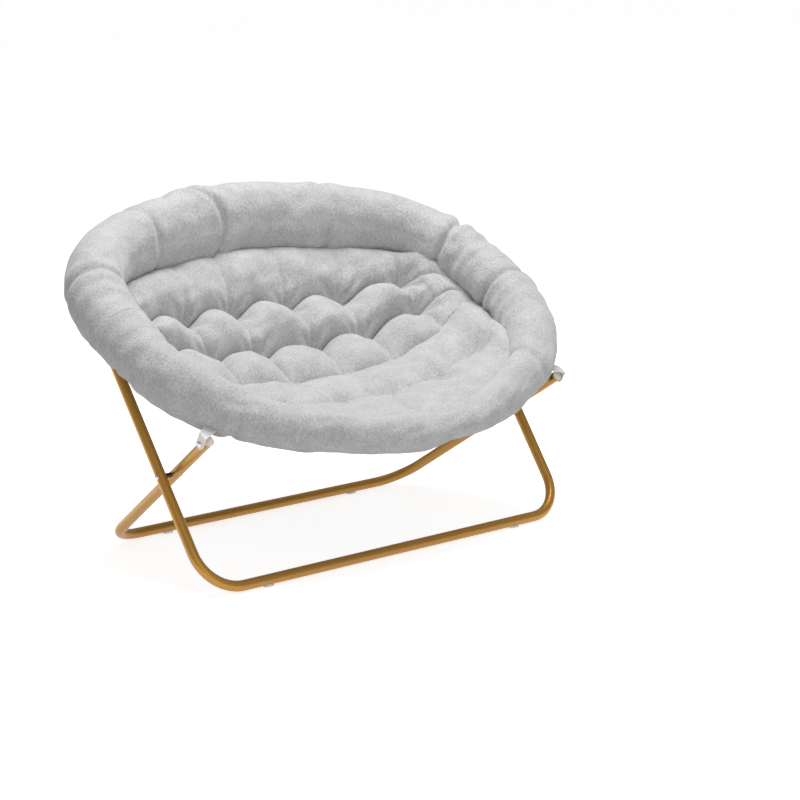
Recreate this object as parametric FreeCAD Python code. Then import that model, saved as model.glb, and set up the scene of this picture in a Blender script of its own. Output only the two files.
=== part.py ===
import FreeCAD, Part
import math
import os

# Folding double saucer chair: two crossed U legs carry an oval ring of two half hoops,
# hinged to each other at the sides, with a padded, tufted bowl slung inside the ring.
# Millimetres. X runs along the floor bars, Y points to the back, Z up.
# The origin is on the floor, on the middle plane, halfway between front and back edges.

# Steel tube
TUBE_D = 25.4
TUBE_WALL = 1.5

# Front leg: the wide U whose floor bar lies in front and whose uprights lean back
FRONT_HALF_WIDTH = 561.0
FRONT_LEAN = 36.04
FRONT_SPLAY = 0.5
FRONT_BEND_R = 100.0

# Rear leg: the narrower U whose floor bar lies behind and whose uprights lean forward
REAR_HALF_WIDTH = 468.0
REAR_LEAN = 55.91
REAR_SPLAY = 12.8
REAR_BEND_R = 95.0
FLOOR_BAR_SPACING = 529.0

# Side hinge of the ring, from the front floor bar
HINGE_Y = 312.0
HINGE_HEIGHT = 528.3

# Half hoops, each in its own tilted plane
HOOP_HALF_WIDTH = 614.0
BACK_TILT = 27.7
BACK_DEPTH = 435.0
BACK_CROWN_R = 1000.0
BACK_CORNER_R = 345.0
FRONT_TILT = 28.8
FRONT_DEPTH = 486.0
FRONT_CROWN_R = 830.0
FRONT_CORNER_R = 365.0

# Pivots
REAR_LEG_REACH = 186.5
LEG_END_PAST_PIVOT = 12.0
BOLT_D = 6.0
RUNNING_FIT = 0.08
SEAT_FIT = 0.05
SOFT_GAP = 0.3
BOLT_HEAD_R = 7.0
BOLT_HEAD_H = 3.6
DOME_SHARE = 0.7
SADDLE_DEPTH = 5.0
NUT_R = 5.8
NUT_H = 7.0
FLANGE_R = 8.0
FLANGE_T = 1.2
SPACER_R = 6.0

# Side hinge: the hoop ends are pressed flat and riveted face to face
FLAT_LENGTH = 72.0
PRESS_LENGTH = 28.0
HINGE_WASHER_T = 1.2
HINGE_WASHER_R = 9.0
RIVET_D = 8.0
RIVET_HEAD_R = 8.0
RIVET_HEAD_H = 3.0

# Front bracket that reaches out from the hoop to the top of the rear leg
BRACKET_T = 3.0
BRACKET_HALF_WIDTH = 13.0
BRACKET_CLEARANCE = 1.5
BRACKET_REACH_BACK = 36.0

# End plugs and floor glides
PLUG_CAP = 3.0
PLUG_DEPTH = 14.0
PLUG_FIT = 0.1
ROOM_BELOW_FRONT_TOP = 310.0
ROOM_BELOW_REAR_TOP = 160.0
GLIDE_BASE = 3.0
GLIDE_LENGTH = 26.0
GLIDE_HALF_WIDTH = 8.0
GLIDE_HEIGHT = 11.0
GLIDE_PIN_D = 5.0
GLIDE_INSET = 170.0

# Padded rim: sections round the hoop tube, as distances outwards and up from its centre line
ROLL_START = 1.0
ROLL_SECTIONS = 19
SIDE_ROLL_OUT = -32.0
SIDE_ROLL_UP = 38.0
SIDE_ROLL_R = 71.0
SIDE_COVER_UNDER = 18.0
BACK_ROLL_OUT = -41.0
BACK_ROLL_UP = 18.0
BACK_ROLL_HALF_W = 68.0
BACK_ROLL_HALF_H = 98.0
BACK_COVER_UNDER = 70.0
LIP_OUT = -12.0
LIP_UP = 15.0
LIP_R = 43.0
LIP_COVER_UNDER = 20.0
SLEEVE_CLEARANCE = 0.4
POCKET_CLEARANCE = 2.0

# Tufted bowl: creases between the padded bands on the middle plane, from the side hinge
RIM_CREASE_BACK = 312.0
RIM_CREASE_UP = 128.0
UPPER_CREASE_BACK = 220.0
UPPER_CREASE_DOWN = 10.0
LOWER_CREASE_BACK = 120.0
LOWER_CREASE_DOWN = 115.0
FOLD_CREASE_FRONT = 12.0
FOLD_CREASE_DOWN = 172.0
SEAT_CREASE_FRONT = 190.0
SEAT_CREASE_DOWN = 180.0
LIP_CREASE_FRONT = 392.0
LIP_CREASE_DOWN = 205.0
BOWL_HALF_WIDTH = 540.0
BOWL_INSET_BACK = 96.0
BOWL_INSET_FRONT = 60.0
BOWL_SIDE_DOWN = 0.0
BOWL_SIDE_POWER = 3.0
BOWL_PAD_END = 498.0
TUFT_PITCH = 166.0
BACK_PUFF = 34.0
SEAT_PUFF = 24.0
TUFT_PUFF = 12.0
TUFT_SINK = 12.0
PAD_THICKNESS = 42.0
PAD_EDGE = 12.0
PUFF_FADE = 0.4
PUFF_LIMIT = 0.4
DRAWN_IN_MOST = 0.2
DRAWN_OUT_MOST = 1.25
SHARE_STEP = 0.001
PAD_MARGIN = 1.5

tube_r = TUBE_D / 2
bolt_r = BOLT_D / 2
hole_r = bolt_r + RUNNING_FIT
bar_z = tube_r + GLIDE_BASE


def in_plane(out, up, tilt):
    """Turn distances away from the hinge and up from a hoop's plane into level ones."""
    t = math.radians(tilt)
    return out * math.cos(t) - up * math.sin(t), out * math.sin(t) + up * math.cos(t)


# The padded rim sets the front and back edges of the chair
back_roll_y = in_plane(BACK_DEPTH + BACK_ROLL_OUT, BACK_ROLL_UP, BACK_TILT)[0]
lip_y = -in_plane(FRONT_DEPTH + LIP_OUT, -LIP_UP, FRONT_TILT)[0]
back_edge = HINGE_Y + back_roll_y + BACK_ROLL_HALF_W
front_edge = HINGE_Y + lip_y - LIP_R
middle_y = (front_edge + back_edge) / 2

X_AXIS = FreeCAD.Vector(1, 0, 0)


def at(x, y, z):
    """A point from its place across, behind the front floor bar and above the bars."""
    return FreeCAD.Vector(x, y - middle_y, z + bar_z)


def leg_direction(lean, splay, side):
    """Unit vector up an upright; lean is positive towards the back."""
    out = side * math.tan(math.radians(splay))
    back = math.tan(math.radians(lean))
    return FreeCAD.Vector(out, back, 1).normalize()


def line_and_corner(bar_y, half_width, lean, splay, side):
    """Floor corner of a leg and the direction of its upright."""
    return at(side * half_width, bar_y, 0), leg_direction(lean, splay, side)


def point_at_y(corner, direction, y):
    return corner + direction * ((y - corner.y) / direction.y)


def cylinder(start, end, radius):
    axis = end - start
    return Part.makeCylinder(radius, axis.Length, start, axis)


def across(point, x_from, x_to, radius):
    """Cylinder parallel to X through a point's y and z."""
    low, high = min(x_from, x_to), max(x_from, x_to)
    return Part.makeCylinder(radius, high - low, FreeCAD.Vector(low, point.y, point.z), X_AXIS)


def sweep_circle(path, radius):
    first = path.OrderedEdges[0]
    start = first.valueAt(first.FirstParameter)
    tangent = first.tangentAt(first.FirstParameter)
    profile = Part.Wire(Part.makeCircle(radius, start, tangent))
    return path.makePipeShell([profile], True, True)


def tube_along(path):
    return sweep_circle(path, tube_r).cut(sweep_circle(path, tube_r - TUBE_WALL))


# Legs

def leg_path(bar_y, half_width, lean, splay, bend_r, top):
    """Bar, two bends and two uprights that end at distance top past the corner."""
    ends = []
    for side in (-1, 1):
        corner, up = line_and_corner(bar_y, half_width, lean, splay, side)
        inward = FreeCAD.Vector(-side, 0, 0)
        turn = math.pi - up.getAngle(inward)
        setback = bend_r * math.tan(turn / 2)
        on_bar = corner + inward * setback
        on_upright = corner + up * setback
        toward_centre = (inward + up).normalize()
        centre = corner + toward_centre * (bend_r / math.cos(turn / 2))
        middle = centre - toward_centre * bend_r
        ends.append((corner + up * top, on_upright, middle, on_bar))
    left, right = ends
    edges = [
        Part.LineSegment(left[0], left[1]).toShape(),
        Part.Arc(left[1], left[2], left[3]).toShape(),
        Part.LineSegment(left[3], right[3]).toShape(),
        Part.Arc(right[3], right[2], right[1]).toShape(),
        Part.LineSegment(right[1], right[0]).toShape(),
    ]
    return Part.Wire(edges)


front_corner, front_up = line_and_corner(0, FRONT_HALF_WIDTH, FRONT_LEAN, FRONT_SPLAY, 1)
rear_corner, rear_up = line_and_corner(FLOOR_BAR_SPACING, REAR_HALF_WIDTH, -REAR_LEAN, REAR_SPLAY, 1)

# Crossing of the two uprights in the side view
front_slope = math.tan(math.radians(FRONT_LEAN))
rear_slope = math.tan(math.radians(REAR_LEAN))
cross_z = FLOOR_BAR_SPACING / (front_slope + rear_slope)
cross = at(0, front_slope * cross_z, cross_z)

hinge = at(0, HINGE_Y, HINGE_HEIGHT)

# Top pivot of the front leg, where its upright meets the back hoop's plane
back_slope = math.tan(math.radians(BACK_TILT))
top_z = (HINGE_HEIGHT - back_slope * HINGE_Y) / (1 - back_slope * front_slope)
back_pivot = at(0, front_slope * top_z, top_z)

# Top pivot of the rear leg, at its reach past the crossing
rear_side = FreeCAD.Vector(0, -math.sin(math.radians(REAR_LEAN)), math.cos(math.radians(REAR_LEAN)))
front_pivot = cross + rear_side * REAR_LEG_REACH

front_cross_x = point_at_y(front_corner, front_up, cross.y).x
rear_cross_x = point_at_y(rear_corner, rear_up, cross.y).x
back_pivot_x = point_at_y(front_corner, front_up, back_pivot.y).x
front_pivot_x = point_at_y(rear_corner, rear_up, front_pivot.y).x

front_top = (point_at_y(front_corner, front_up, back_pivot.y) - front_corner).Length + LEG_END_PAST_PIVOT
rear_top = (point_at_y(rear_corner, rear_up, front_pivot.y) - rear_corner).Length + LEG_END_PAST_PIVOT


def make_leg(bar_y, half_width, lean, splay, bend_r, top, bored):
    leg = tube_along(leg_path(bar_y, half_width, lean, splay, bend_r, top))
    for point in bored:
        leg = leg.cut(across(point, -half_width - 200, half_width + 200, hole_r))
    for side in (-1, 1):
        foot = at(side * (half_width - GLIDE_INSET), bar_y, 0)
        drill = foot - FreeCAD.Vector(0, 0, tube_r + 1)
        leg = leg.cut(cylinder(drill, foot, GLIDE_PIN_D / 2 + RUNNING_FIT))
    return leg


def make_glides(bar_y, half_width):
    """Clear saddles under the floor bar, each with a locating pin in the tube wall."""
    glides = []
    for side in (-1, 1):
        foot = at(side * (half_width - GLIDE_INSET), bar_y, 0)
        low = FreeCAD.Vector(foot.x - GLIDE_LENGTH / 2, foot.y - GLIDE_HALF_WIDTH, 0)
        base = Part.makeBox(GLIDE_LENGTH, 2 * GLIDE_HALF_WIDTH, GLIDE_HEIGHT, low)
        corners = [e for e in base.Edges if abs(e.tangentAt(e.FirstParameter).z) > 0.9]
        base = base.makeFillet(GLIDE_HALF_WIDTH * 0.6, corners)
        bed_start = foot - X_AXIS * GLIDE_LENGTH
        bed = cylinder(bed_start, foot + X_AXIS * GLIDE_LENGTH, tube_r + SEAT_FIT)
        pin_foot = foot - FreeCAD.Vector(0, 0, tube_r + GLIDE_BASE / 2)
        pin_top = foot - FreeCAD.Vector(0, 0, tube_r - TUBE_WALL - 2)
        glides.append(base.cut(bed).fuse(cylinder(pin_foot, pin_top, GLIDE_PIN_D / 2)).removeSplitter())
    return Part.makeCompound(glides)


def make_plugs(bar_y, half_width, lean, splay, top):
    """Push-in caps that close the open tube ends."""
    plugs = []
    for side in (-1, 1):
        corner, up = line_and_corner(bar_y, half_width, lean, splay, side)
        end = corner + up * (top + SEAT_FIT)
        cap = Part.makeCylinder(tube_r, PLUG_CAP, end, up)
        rim = [e for e in cap.Edges if e.Length > TUBE_D and e.CenterOfMass.distanceToPoint(end) > 1]
        cap = cap.makeFillet(PLUG_CAP * 0.6, rim)
        stem_r = tube_r - TUBE_WALL - PLUG_FIT
        stem = Part.makeCylinder(stem_r, PLUG_DEPTH, end - up * PLUG_DEPTH, up)
        bore = across(corner + up * (top - LEG_END_PAST_PIVOT), end.x - TUBE_D, end.x + TUBE_D, hole_r)
        plugs.append(cap.fuse(stem).removeSplitter().cut(bore))
    return Part.makeCompound(plugs)


# Fasteners along X, made for the right side and mirrored to the left

def both_sides(solid):
    mirrored = solid.mirror(FreeCAD.Vector(0, 0, 0), X_AXIS)
    return Part.makeCompound([mirrored, solid])


def skin(direction, reach):
    """Largest distance in X from a tube's axis to its surface within reach of a pivot."""
    return (tube_r + reach * abs(direction.x)) / math.sqrt(1 - direction.x ** 2)


def dome(point, x_base, outward, radius, height, root=0):
    """Low domed head above a plane across X, with a root that reaches back below the plane."""
    rise = height * DOME_SHARE
    ball_r = (radius ** 2 + rise ** 2) / (2 * rise)
    ball = Part.makeSphere(ball_r, FreeCAD.Vector(x_base + outward * (height - ball_r), point.y, point.z))
    return across(point, x_base - outward * root, x_base + outward * height, radius).common(ball)


def flange_nut(point, x_seat, outward):
    """Flanged cap nut with a domed end, bored for the bolt."""
    flange = across(point, x_seat, x_seat + outward * FLANGE_T, FLANGE_R)
    corners = []
    for i in range(7):
        a = math.radians(60 * i)
        corners.append(FreeCAD.Vector(x_seat, point.y + NUT_R * math.cos(a), point.z + NUT_R * math.sin(a)))
    hexagon = Part.Face(Part.makePolygon(corners)).extrude(X_AXIS * (outward * NUT_H * 0.6))
    cap = dome(point, x_seat + outward * NUT_H * 0.5, outward, NUT_R * 0.8, NUT_H * 0.5)
    nut = flange.fuse([hexagon, cap]).removeSplitter()
    return nut.cut(across(point, x_seat, x_seat + outward * NUT_H * 0.6, hole_r))


def sleeve(point, x_from, x_to, radius):
    return across(point, x_from, x_to, radius).cut(across(point, x_from, x_to, hole_r))


def pivot_set(point, x_outer, outer_tube, x_inner, inner_direction):
    """Bolt, spacer and nut of a pivot; the head and spacer are shaped to the outer tube."""
    skin_x = x_outer + tube_r
    head = dome(point, skin_x, 1, BOLT_HEAD_R, BOLT_HEAD_H, SADDLE_DEPTH).cut(outer_tube)
    nut_x = x_inner - skin(inner_direction, FLANGE_R) - SEAT_FIT
    shank = across(point, nut_x - NUT_H * 0.5, skin_x + BOLT_HEAD_H * 0.5, bolt_r)
    bolt = shank.fuse(head)
    spacer_x = x_inner + skin(inner_direction, SPACER_R) + SEAT_FIT
    spacer = sleeve(point, spacer_x, x_outer, SPACER_R).cut(outer_tube)
    return bolt, spacer, flange_nut(point, nut_x, -1)


# Half hoops. Local frame: x across, y away from the hinge in the hoop's plane, z up from it.

def to_hoop(shape, tilt, forward):
    """Turn a shape from the hoop's flat layout into its tilted plane at the hinge."""
    placed = shape.copy()
    if forward:
        placed.rotate(FreeCAD.Vector(0, 0, 0), FreeCAD.Vector(0, 0, 1), 180)
    placed.rotate(FreeCAD.Vector(0, 0, 0), X_AXIS, tilt)
    placed.translate(hinge)
    return placed


class HoopLine:
    """Centre line of a half hoop: straight sides, two corner arcs and a wide crown arc."""

    def __init__(self, half_width, depth, crown_r, corner_r):
        self.half_width = half_width
        self.depth = depth
        self.crown_r = crown_r
        self.corner_r = corner_r
        self.crown_half = math.asin((half_width - corner_r) / (crown_r - corner_r))
        self.corner_x = half_width - corner_r
        self.corner_y = depth - crown_r + (crown_r - corner_r) * math.cos(self.crown_half)
        self.side_length = self.corner_y
        self.corner_length = corner_r * (math.pi / 2 - self.crown_half)
        self.half_length = self.side_length + self.corner_length + crown_r * self.crown_half

    def inset(self, side, depth):
        """The same form, drawn in at the sides and at the crown."""
        return HoopLine(self.half_width - side, self.depth - depth, self.crown_r - depth, self.corner_r - side)

    def point(self, d):
        """Place and outward direction at length d from the right-hand hinge end."""
        if d > self.half_length:
            p, out = self.point(2 * self.half_length - d)
            return FreeCAD.Vector(-p.x, p.y, 0), FreeCAD.Vector(-out.x, out.y, 0)
        if d <= self.side_length:
            return FreeCAD.Vector(self.half_width, d, 0), FreeCAD.Vector(1, 0, 0)
        d -= self.side_length
        if d <= self.corner_length:
            a = d / self.corner_r
            out = FreeCAD.Vector(math.cos(a), math.sin(a), 0)
            return FreeCAD.Vector(self.corner_x, self.corner_y, 0) + out * self.corner_r, out
        a = math.pi / 2 - self.crown_half + (d - self.corner_length) / self.crown_r
        out = FreeCAD.Vector(math.cos(a), math.sin(a), 0)
        return FreeCAD.Vector(0, self.depth - self.crown_r, 0) + out * self.crown_r, out

    def x_at(self, y):
        """Half width of the form in its corner arc, y from the hinge."""
        if y <= self.corner_y:
            return self.half_width
        return self.corner_x + math.sqrt(self.corner_r ** 2 - (y - self.corner_y) ** 2)

    def y_at(self, x):
        """Distance of the form from the hinge at x across."""
        x = abs(x)
        if x < (self.crown_r) * math.sin(self.crown_half):
            return self.depth - self.crown_r + math.sqrt(self.crown_r ** 2 - x ** 2)
        inner = max(0.0, self.corner_r ** 2 - (x - self.corner_x) ** 2)
        return self.corner_y + math.sqrt(inner)

    def path(self, start, end):
        """Wire of lines and arcs between two lengths."""
        joints = [0, self.side_length, self.side_length + self.corner_length]
        joints += [2 * self.half_length - j for j in reversed(joints)]
        stops = [start] + [j for j in joints if start < j < end] + [end]
        edges = []
        for a, b in zip(stops, stops[1:]):
            p, q, r = (self.point(v)[0] for v in (a, (a + b) / 2, b))
            straight = (q - p).cross(r - p).Length < 1e-6
            edges.append((Part.LineSegment(p, r) if straight else Part.Arc(p, q, r)).toShape())
        return Part.Wire(edges)


back_line = HoopLine(HOOP_HALF_WIDTH, BACK_DEPTH, BACK_CROWN_R, BACK_CORNER_R)
front_line = HoopLine(HOOP_HALF_WIDTH, FRONT_DEPTH, FRONT_CROWN_R, FRONT_CORNER_R)
flat_width = math.pi * (TUBE_D - TUBE_WALL) / 2 + TUBE_WALL
flat_t = 2 * TUBE_WALL
flat_shift = (flat_t + HINGE_WASHER_T) / 2 + SEAT_FIT


def round_part(line, radius, start):
    """Solid round bar along the hoop from one end's start to the other's."""
    return sweep_circle(line.path(start, 2 * line.half_length - start), radius)


def flat_end(line, shift):
    """Pressed end on the right-hand side: taper from the round tube to a tongue with a hole."""
    x = line.half_width
    y_flat = FLAT_LENGTH - PRESS_LENGTH
    centre = FreeCAD.Vector(x + shift, y_flat, 0)
    start, out = line.point(FLAT_LENGTH)
    circle = Part.Wire(Part.makeCircle(tube_r, start, FreeCAD.Vector(0, 0, 1).cross(out)))
    oval = Part.Ellipse(centre + FreeCAD.Vector(0, 0, flat_width / 2),
                        centre + FreeCAD.Vector(flat_t / 2, 0, 0), centre)
    taper = Part.makeLoft([circle, Part.Wire(oval.toShape())], True, True)
    tongue = Part.makeBox(flat_t, y_flat, flat_width, centre - FreeCAD.Vector(flat_t / 2, y_flat, flat_width / 2))
    nose = Part.makeCylinder(flat_width / 2, flat_t, FreeCAD.Vector(x + shift - flat_t / 2, 0, 0), X_AXIS)
    end = taper.fuse([tongue, nose]).removeSplitter()
    hole = Part.makeCylinder(RIVET_D / 2 + RUNNING_FIT, TUBE_D, FreeCAD.Vector(x - tube_r, 0, 0), X_AXIS)
    return end.cut(hole)


def hoop_tube(line, shift):
    tube = round_part(line, tube_r, FLAT_LENGTH).cut(round_part(line, tube_r - TUBE_WALL, FLAT_LENGTH))
    end = flat_end(line, shift)
    other = end.mirror(FreeCAD.Vector(0, 0, 0), X_AXIS)
    return tube.fuse([end, other]).removeSplitter()


# Padded rim

def mix(a, b, w):
    return a + (b - a) * w


def roll_section(line, d, shape, turn, grow):
    """Closed wire of four arcs and a flat underside round the hoop at length d."""
    out_c, up_c, half_w, half_h, under = shape
    base, out = line.point(d)
    up = FreeCAD.Vector(0, 0, 1)
    c, s = math.cos(math.radians(turn)), math.sin(math.radians(turn))

    def place(angle):
        a = (half_w + grow) * math.cos(angle)
        b = (half_h + grow) * math.sin(angle)
        return base + out * (out_c + a * c + b * s) + up * (up_c - a * s + b * c)

    low = math.asin((-under - up_c) / half_h)
    stops = [low, 0.0, math.pi / 2, math.pi, math.pi - low]
    edges = []
    for a, b in zip(stops, stops[1:]):
        edges.append(Part.Arc(place(a), place((a + b) / 2), place(b)).toShape())
    edges.append(Part.LineSegment(place(stops[-1]), place(stops[0])).toShape())
    return Part.Wire(edges)


SIDE_SHAPE = (SIDE_ROLL_OUT, SIDE_ROLL_UP, SIDE_ROLL_R, SIDE_ROLL_R, SIDE_COVER_UNDER)
BACK_SHAPE = (BACK_ROLL_OUT, BACK_ROLL_UP, BACK_ROLL_HALF_W, BACK_ROLL_HALF_H, BACK_COVER_UNDER)
LIP_SHAPE = (LIP_OUT, LIP_UP, LIP_R, LIP_R, LIP_COVER_UNDER)


def roll_solid(line, far_shape, turn, start, grow):
    """Loft of the rim all along a half hoop; the section swells and turns towards its crown."""
    sections = []
    for i in range(ROLL_SECTIONS):
        d = mix(start, 2 * line.half_length - start, i / (ROLL_SECTIONS - 1))
        w = min(1.0, max(0.0, line.point(d)[0].y / line.depth)) ** 2
        shape = [mix(a, b, w) for a, b in zip(SIDE_SHAPE, far_shape)]
        sections.append(roll_section(line, d, shape, turn * w, grow))
    return Part.makeLoft(sections, True, False)


def hinge_pocket():
    """Room round the pressed ends and the rivet of the side hinge, open underneath."""
    wide = tube_r + flat_shift + POCKET_CLEARANCE
    tall = flat_width / 2 + POCKET_CLEARANCE
    half_length = FLAT_LENGTH + POCKET_CLEARANCE
    low = FreeCAD.Vector(HOOP_HALF_WIDTH - wide, -half_length, -SIDE_COVER_UNDER - POCKET_CLEARANCE)
    return Part.makeBox(2 * wide, 2 * half_length, tall - low.z, low)


# Tufted bowl

CREASES = [
    (RIM_CREASE_BACK, RIM_CREASE_UP),
    (UPPER_CREASE_BACK, -UPPER_CREASE_DOWN),
    (LOWER_CREASE_BACK, -LOWER_CREASE_DOWN),
    (-FOLD_CREASE_FRONT, -FOLD_CREASE_DOWN),
    (-SEAT_CREASE_FRONT, -SEAT_CREASE_DOWN),
    (-LIP_CREASE_FRONT, -LIP_CREASE_DOWN),
]
FOLD_CREASE = 3
bowl_side = HOOP_HALF_WIDTH - BOWL_HALF_WIDTH
bowl_back = back_line.inset(bowl_side, BOWL_INSET_BACK)
bowl_front = front_line.inset(bowl_side, BOWL_INSET_FRONT)


def bowl_point(index, x):
    """Crease point at x across: the middle profile, drawn up to the hoops towards the sides."""
    y_back, z_back = in_plane(bowl_back.y_at(x), 0, BACK_TILT)
    y_front, z_front = in_plane(bowl_front.y_at(x), 0, FRONT_TILT)
    y_far, z_far = in_plane(bowl_back.y_at(0), 0, BACK_TILT)
    y_near, z_near = in_plane(bowl_front.y_at(0), 0, FRONT_TILT)
    y, z = CREASES[index]
    share = (y + y_near) / (y_far + y_near)
    depth = z - mix(-z_near, z_far, share)
    w = 1 - (abs(x) / BOWL_HALF_WIDTH) ** BOWL_SIDE_POWER
    flat = mix(-z_front, z_back, share)
    across_y = mix(-y_front, y_back, share)
    if index == FOLD_CREASE:
        across_y = across_y * w
    return FreeCAD.Vector(x, hinge.y + across_y, hinge.z + flat + mix(-BOWL_SIDE_DOWN, depth, w))


def band_points(x, tuft, first, last):
    """Upper and lower points at the creases of one pad, tuft being 1 at a tuft and 0 at a puff."""
    side = 1 - (abs(x) / BOWL_HALF_WIDTH) ** BOWL_SIDE_POWER
    creases = [bowl_point(i, x) for i in range(len(CREASES))]
    upper = []
    lower = []
    for i in range(first, last + 1):
        before, after = creases[max(0, i - 1)], creases[min(len(creases) - 1, i + 1)]
        along = (after - before).normalize()
        normal = along.cross(X_AXIS)
        p = creases[i]
        if i == FOLD_CREASE:
            p = p + along * (SOFT_GAP / 2 if i == first else -SOFT_GAP / 2)
        at_rim = i in (0, len(CREASES) - 1)
        upper.append(p - normal * TUFT_SINK * side * tuft)
        lower.append(p - normal * (PAD_EDGE if at_rim else mix(PAD_EDGE, PAD_THICKNESS, side)))
    return upper, lower


def drawn_in(points, fold, share):
    """The points drawn towards the fold crease."""
    return [fold + (p - fold) * share for p in points]


def arc_tops(upper, puff):
    """Highest point of the padding over each band."""
    tops = []
    for a, b in zip(upper, upper[1:]):
        normal = (b - a).normalize().cross(X_AXIS)
        tops.append((a + b) * 0.5 + normal * min(puff, (b - a).Length * PUFF_LIMIT))
    return tops


def pad_section(x, tuft, first, last, puff, fill):
    """Wire across the bands: an arc over each band, straight underneath, up to the rim's padding."""
    side = 1 - (abs(x) / BOWL_HALF_WIDTH) ** BOWL_SIDE_POWER
    height = mix(puff, TUFT_PUFF, tuft) * min(1.0, side / PUFF_FADE)
    upper, lower = band_points(x, tuft, first, last)
    fold_at = 0 if first == FOLD_CREASE else -1
    rim_at = -1 - fold_at
    upper_fold, lower_fold = upper[fold_at], lower[fold_at]

    def reaches(share):
        u = drawn_in(upper, upper_fold, share)
        v = drawn_in(lower, lower_fold, share)
        tests = [u[rim_at], v[rim_at], arc_tops(u, height)[rim_at]]
        return any(fill.isInside(p, 0.01, True) for p in tests)

    low, high = DRAWN_IN_MOST, DRAWN_OUT_MOST
    while high - low > SHARE_STEP:
        middle = (low + high) / 2
        low, high = (low, middle) if reaches(middle) else (middle, high)
    upper = drawn_in(upper, upper_fold, low)
    lower = drawn_in(lower, lower_fold, low)
    edges = []
    for a, top, b in zip(upper, arc_tops(upper, height), upper[1:]):
        edges.append(Part.Arc(a, top, b).toShape())
    edges.append(Part.LineSegment(upper[-1], lower[-1]).toShape())
    for i in range(len(lower) - 1, 0, -1):
        edges.append(Part.LineSegment(lower[i], lower[i - 1]).toShape())
    edges.append(Part.LineSegment(lower[0], upper[0]).toShape())
    return Part.Wire(edges)


def tufted_pad(first, last, puff, fill):
    """Loft through a section at each puff, at each tuft and halfway between them."""
    step = TUFT_PITCH / 4
    count = int((BOWL_PAD_END - step / 2) // step)
    stations = [-BOWL_PAD_END] + [i * step for i in range(-count, count + 1)] + [BOWL_PAD_END]
    sections = []
    for x in stations:
        tuft = 0.5 - 0.5 * math.cos(2 * math.pi * x / TUFT_PITCH)
        sections.append(pad_section(x, tuft, first, last, puff, fill))
    return Part.makeLoft(sections, True, False)


# Front bracket, in the plane of the front hoop: along towards the hinge, rise away from it

def make_bracket(ear_x):
    """Ear on the rear leg's pivot and a web that runs over the leg's end to the hoop tube."""
    t = math.radians(FRONT_TILT)
    along = FreeCAD.Vector(0, math.cos(t), math.sin(t))
    rise = FreeCAD.Vector(0, -math.sin(t), math.cos(t))
    low = math.hypot(LEG_END_PAST_PIVOT + PLUG_CAP + SEAT_FIT, tube_r) + BRACKET_CLEARANCE
    high = low + BRACKET_T
    half = BRACKET_HALF_WIDTH
    base = FreeCAD.Vector(ear_x, front_pivot.y, front_pivot.z)
    disc = Part.makeCylinder(half, BRACKET_T, base, X_AXIS)
    corners = [base - along * half, base + along * half, base + along * half + rise * high,
               base - along * half + rise * high]
    ear = Part.Face(Part.makePolygon(corners + corners[:1])).extrude(X_AXIS * BRACKET_T)
    pivot_out = (hinge - front_pivot).dot(along)
    outer = FreeCAD.Vector(ear_x + BRACKET_T, front_pivot.y, front_pivot.z) + rise * low
    web_points = [outer - along * half, outer + along * half]
    for shift in (BRACKET_REACH_BACK + half, BRACKET_REACH_BACK - half):
        p = outer + along * shift
        p.x = front_line.x_at(pivot_out - shift)
        web_points.append(p)
    web = Part.Face(Part.makePolygon(web_points + web_points[:1])).extrude(rise * BRACKET_T)
    bracket = disc.fuse([ear, web]).removeSplitter()
    tube = to_hoop(round_part(front_line, tube_r + SEAT_FIT, FLAT_LENGTH), FRONT_TILT, True)
    hole = across(front_pivot, ear_x - 1, ear_x + BRACKET_T + 1, hole_r)
    return bracket.cut(tube).cut(hole)


# Build

parts = {}
front_leg = make_leg(0, FRONT_HALF_WIDTH, FRONT_LEAN, FRONT_SPLAY, FRONT_BEND_R, front_top,
                     [cross, back_pivot])
rear_leg = make_leg(FLOOR_BAR_SPACING, REAR_HALF_WIDTH, -REAR_LEAN, REAR_SPLAY, REAR_BEND_R, rear_top,
                    [cross, front_pivot])
parts["front_leg_tube"] = front_leg
parts["rear_leg_tube"] = rear_leg
parts["front_glides"] = make_glides(0, FRONT_HALF_WIDTH)
parts["rear_glides"] = make_glides(FLOOR_BAR_SPACING, REAR_HALF_WIDTH)
parts["front_leg_plugs"] = make_plugs(0, FRONT_HALF_WIDTH, FRONT_LEAN, FRONT_SPLAY, front_top)
parts["rear_leg_plugs"] = make_plugs(FLOOR_BAR_SPACING, REAR_HALF_WIDTH, -REAR_LEAN, REAR_SPLAY, rear_top)

# Crossing pivot of the legs
front_here = point_at_y(front_corner, front_up, cross.y)
front_tube_here = cylinder(front_here - front_up * TUBE_D, front_here + front_up * TUBE_D, tube_r + SEAT_FIT)
bolt, spacer, nut = pivot_set(cross, front_cross_x, front_tube_here, rear_cross_x, rear_up)
parts["crossing_bolts"] = both_sides(bolt)
parts["crossing_spacers"] = both_sides(spacer)
parts["crossing_nuts"] = both_sides(nut)

# Back hoop on the front leg
back_out = (back_pivot - hinge).Length
hoop_x = back_line.x_at(back_out)
back_round = to_hoop(round_part(back_line, tube_r + SEAT_FIT, FLAT_LENGTH), BACK_TILT, False)
bolt, spacer, nut = pivot_set(back_pivot, hoop_x, back_round, back_pivot_x, front_up)
back_hoop = to_hoop(hoop_tube(back_line, -flat_shift), BACK_TILT, False)
drill = across(back_pivot, -2 * HOOP_HALF_WIDTH, 2 * HOOP_HALF_WIDTH, hole_r)
parts["back_hoop_tube"] = back_hoop.cut(drill)
parts["back_pivot_bolts"] = both_sides(bolt)
parts["back_pivot_spacers"] = both_sides(spacer)
parts["back_pivot_nuts"] = both_sides(nut)

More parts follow.
